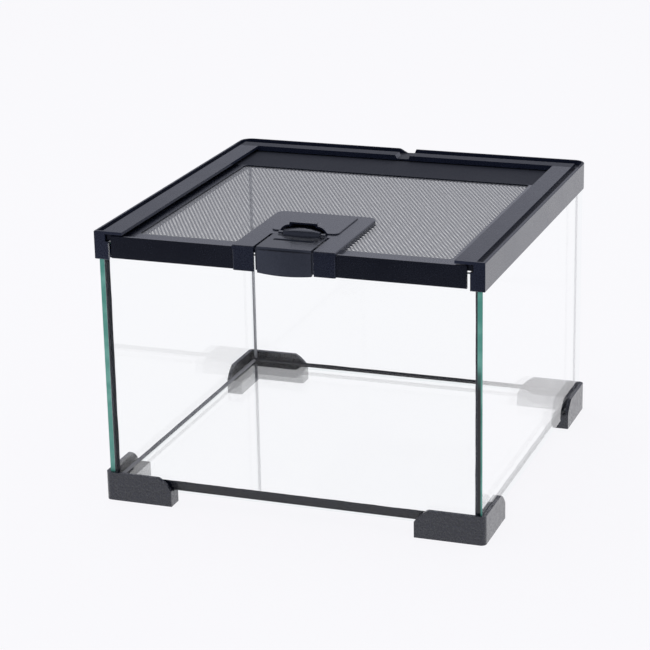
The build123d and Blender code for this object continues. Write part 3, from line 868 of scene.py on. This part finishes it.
class TERRARIUM_OT_lid(bpy.types.Operator):
    """Dresses the top frame, the lid and the latch as moulded plastic, and the pin as steel"""

    bl_idname = "terrarium.lid"
    bl_label = "Top frame, lid and latch"

    def execute(self, context):
        look = context.scene.terrarium_plastic
        colour, roughness = look.lid_colour, look.lid_roughness
        # Columns: part, colour, roughness, shine of upright and level faces, duller place behind,
        # and how many times paler the upright faces are painted, a painted light.
        for name, tone, dullness, polish, matt, upright_painted_light in (
            ("top_frame", colour, roughness, (0.3, 0.0), (RIDGE_BACK, 0.26), 3.0),
            ("lid_frame", colour, roughness - 0.04, (0.0, 0.5), (BAND_BACK, 0.50), 1.0),
            ("mesh_retainer", colour, roughness, (0.0, 0.0), EVEN, 1.0),
            ("latch_cover", colour, roughness - 0.02, (0.1, 0.38), EVEN, 2.2),
            ("latch_tongue", look.latch_colour, roughness - 0.18, (0.1, 0.0), EVEN, 4.2),
        ):
            finish = plastic_finish(
                look, name + "_plastic", tone, dullness, polish=polish, matt=matt, upright_painted_light=upright_painted_light)
            dress(finish, name)
        dress(bright_steel_finish(), "latch_pin")
        return {"FINISHED"}


class TERRARIUM_OT_screen(bpy.types.Operator):
    """Makes the fine perforated screen of the lid in place of the coarse one"""

    bl_idname = "terrarium.screen"
    bl_label = "Fine screen"

    def execute(self, context):
        look = context.scene.terrarium_screen
        make = fine_screen(look, SCREEN_LOW, SCREEN_HIGH)
        screen = add_piece("fine_screen", make, coated_metal_finish(look), "lid")
        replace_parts(screen, "mesh_screen")
        return {"FINISHED"}


def add_floor(look):
    """The white table, which keeps the tank's soft shadow."""
    bpy.ops.mesh.primitive_circle_add(
        vertices=96, radius=TABLE_RADIUS, fill_type="NGON", location=(0.0, 0.0, 0.0))
    floor = bpy.context.object
    floor.name = "table"
    tree = new_finish("white_table")
    path = tree.node("ShaderNodeLightPath")
    seen = path["Is Camera Ray"].either(path["Is Transmission Ray"])
    place = tree.node("ShaderNodeTexCoord")["Object"]
    parts = tree.parts(place)
    reach = CAD_BOX[0][1] - look.white_reach
    fleck = noise(tree, place, PAPER_FLECK)
    paper = tree.blend(fleck, PAPER_DARK, PAPER_PALE)
    lit = tree.node("ShaderNodeBsdfDiffuse", None, {"Color": paper})[0]
    glow = tree.node("ShaderNodeEmission", None, {"Color": look.backdrop, "Strength": 1.0})[0]
    room = tree.blend(parts["X"].steps(*ROOM_TURN), ROOM_LEFT, ROOM_RIGHT)
    on_table = parts["Y"].steps(reach + TABLE_TURN[0], reach + TABLE_TURN[1])
    mirrored = tree.blend(on_table, room, look.backdrop)
    mirrored = tree.blend(path["Is Singular Ray"], mirrored, look.backdrop)
    in_gloss = tree.node("ShaderNodeEmission", None, {"Color": mirrored, "Strength": 1.0})[0]
    plain = tree.cover(path["Is Glossy Ray"], lit, in_gloss)
    floor.data.materials.append(tree.finish(tree.cover(seen * look.evenness, plain, glow)))


def add_world(look):
    """Even light for the object, a white backdrop for camera and glass, a dimmer one for gloss."""
    world = bpy.data.worlds.new("white_studio")
    tree = Tree(world)
    path = tree.node("ShaderNodeLightPath")
    seen = path["Is Camera Ray"].either(path["Is Transmission Ray"])
    parts = tree.parts(tree.node("ShaderNodeTexCoord")["Generated"])
    sheet = tree.blend(parts["X"].steps(*SHEET_TURN), SHEET_LEFT, SHEET_RIGHT)
    in_gloss = tree.blend(parts["Y"].steps(*FRONT_TURN), SHEET_FRONT, sheet)
    in_gloss = tree.blend(path["Is Singular Ray"], in_gloss, look.backdrop)
    ambient = [look.ambient] * 3
    colour = tree.blend(path["Is Glossy Ray"], ambient, in_gloss)
    colour = tree.blend(seen, colour, look.backdrop)
    tree.finish(tree.node("ShaderNodeBackground", None, {"Color": colour, "Strength": 1.0})[0])
    bpy.context.scene.world = world


def add_lamp(name, place, aim, size, power):
    """A large soft lamp that looks at aim."""
    lamp = bpy.data.lights.new(name, "AREA")
    lamp.shape = "RECTANGLE"
    lamp.size, lamp.size_y = size
    lamp.energy = power
    holder = bpy.data.objects.new(name, lamp)
    holder.location = place
    holder.rotation_euler = (Vector(aim) - Vector(place)).to_track_quat("-Z", "Y").to_euler()
    bpy.context.scene.collection.objects.link(holder)


def add_camera(look):
    """A camera that sees the tank as the picture does."""
    camera = bpy.data.cameras.new("camera")
    camera.sensor_width = SENSOR_WIDTH
    camera.lens = LENS
    camera.shift_x, camera.shift_y = CAMERA_SHIFT
    camera.clip_end = 100.0
    holder = bpy.data.objects.new("camera", camera)
    turn = (
        Matrix.Rotation(look.azimuth, 4, "Z")
        @ Matrix.Rotation(math.pi / 2.0 - look.elevation, 4, "X")
        @ Matrix.Rotation(look.roll, 4, "Z")
    )
    away = Matrix.Translation((0.0, 0.0, look.distance))
    holder.matrix_world = Matrix.Translation(CAMERA_AIM) @ turn @ away
    bpy.context.scene.collection.objects.link(holder)
    bpy.context.scene.camera = holder


class TERRARIUM_OT_stage(bpy.types.Operator):
    """Makes the camera, the white table, the backdrop's light and the softbox"""

    bl_idname = "terrarium.stage"
    bl_label = "Stage and camera"

    def execute(self, context):
        look = context.scene.terrarium_stage
        add_camera(look)
        add_floor(look)
        add_world(look)
        add_lamp("softbox_above", SOFTBOX_PLACE, SOFTBOX_AIM, SOFTBOX_SIZE, look.softbox)
        context.scene.view_settings.view_transform = "Standard"
        return {"FINISHED"}


OPERATORS = (
    TERRARIUM_OT_stage,
    TERRARIUM_OT_glass,
    TERRARIUM_OT_silicone,
    TERRARIUM_OT_feet,
    TERRARIUM_OT_lid,
    TERRARIUM_OT_screen,
)


class TERRARIUM_PT_panel(bpy.types.Panel):
    """Lists the terrarium's pieces and their looks"""

    bl_idname = "TERRARIUM_PT_panel"
    bl_label = "Terrarium"
    bl_space_type = "VIEW_3D"
    bl_region_type = "UI"
    bl_category = "Terrarium"

    def draw(self, context):
        for operator in OPERATORS:
            self.layout.operator(operator.bl_idname)
        for name, group in GROUPS.items():
            box = self.layout.box()
            for prop in group.__annotations__:
                box.prop(getattr(context.scene, name), prop)


def register():
    for group in GROUPS.values():
        bpy.utils.register_class(group)
    for operator in OPERATORS:
        bpy.utils.register_class(operator)
    bpy.utils.register_class(TERRARIUM_PT_panel)
    for name, group in GROUPS.items():
        setattr(bpy.types.Scene, name, PointerProperty(type=group))


def unregister():
    for name in GROUPS:
        delattr(bpy.types.Scene, name)
    bpy.utils.unregister_class(TERRARIUM_PT_panel)
    for operator in reversed(OPERATORS):
        bpy.utils.unregister_class(operator)
    for group in GROUPS.values():
        bpy.utils.unregister_class(group)


def main():
    register()
    for operator in OPERATORS:
        family, call = operator.bl_idname.split(".")
        getattr(getattr(bpy.ops, family), call)()


if __name__ == "__main__":
    main()
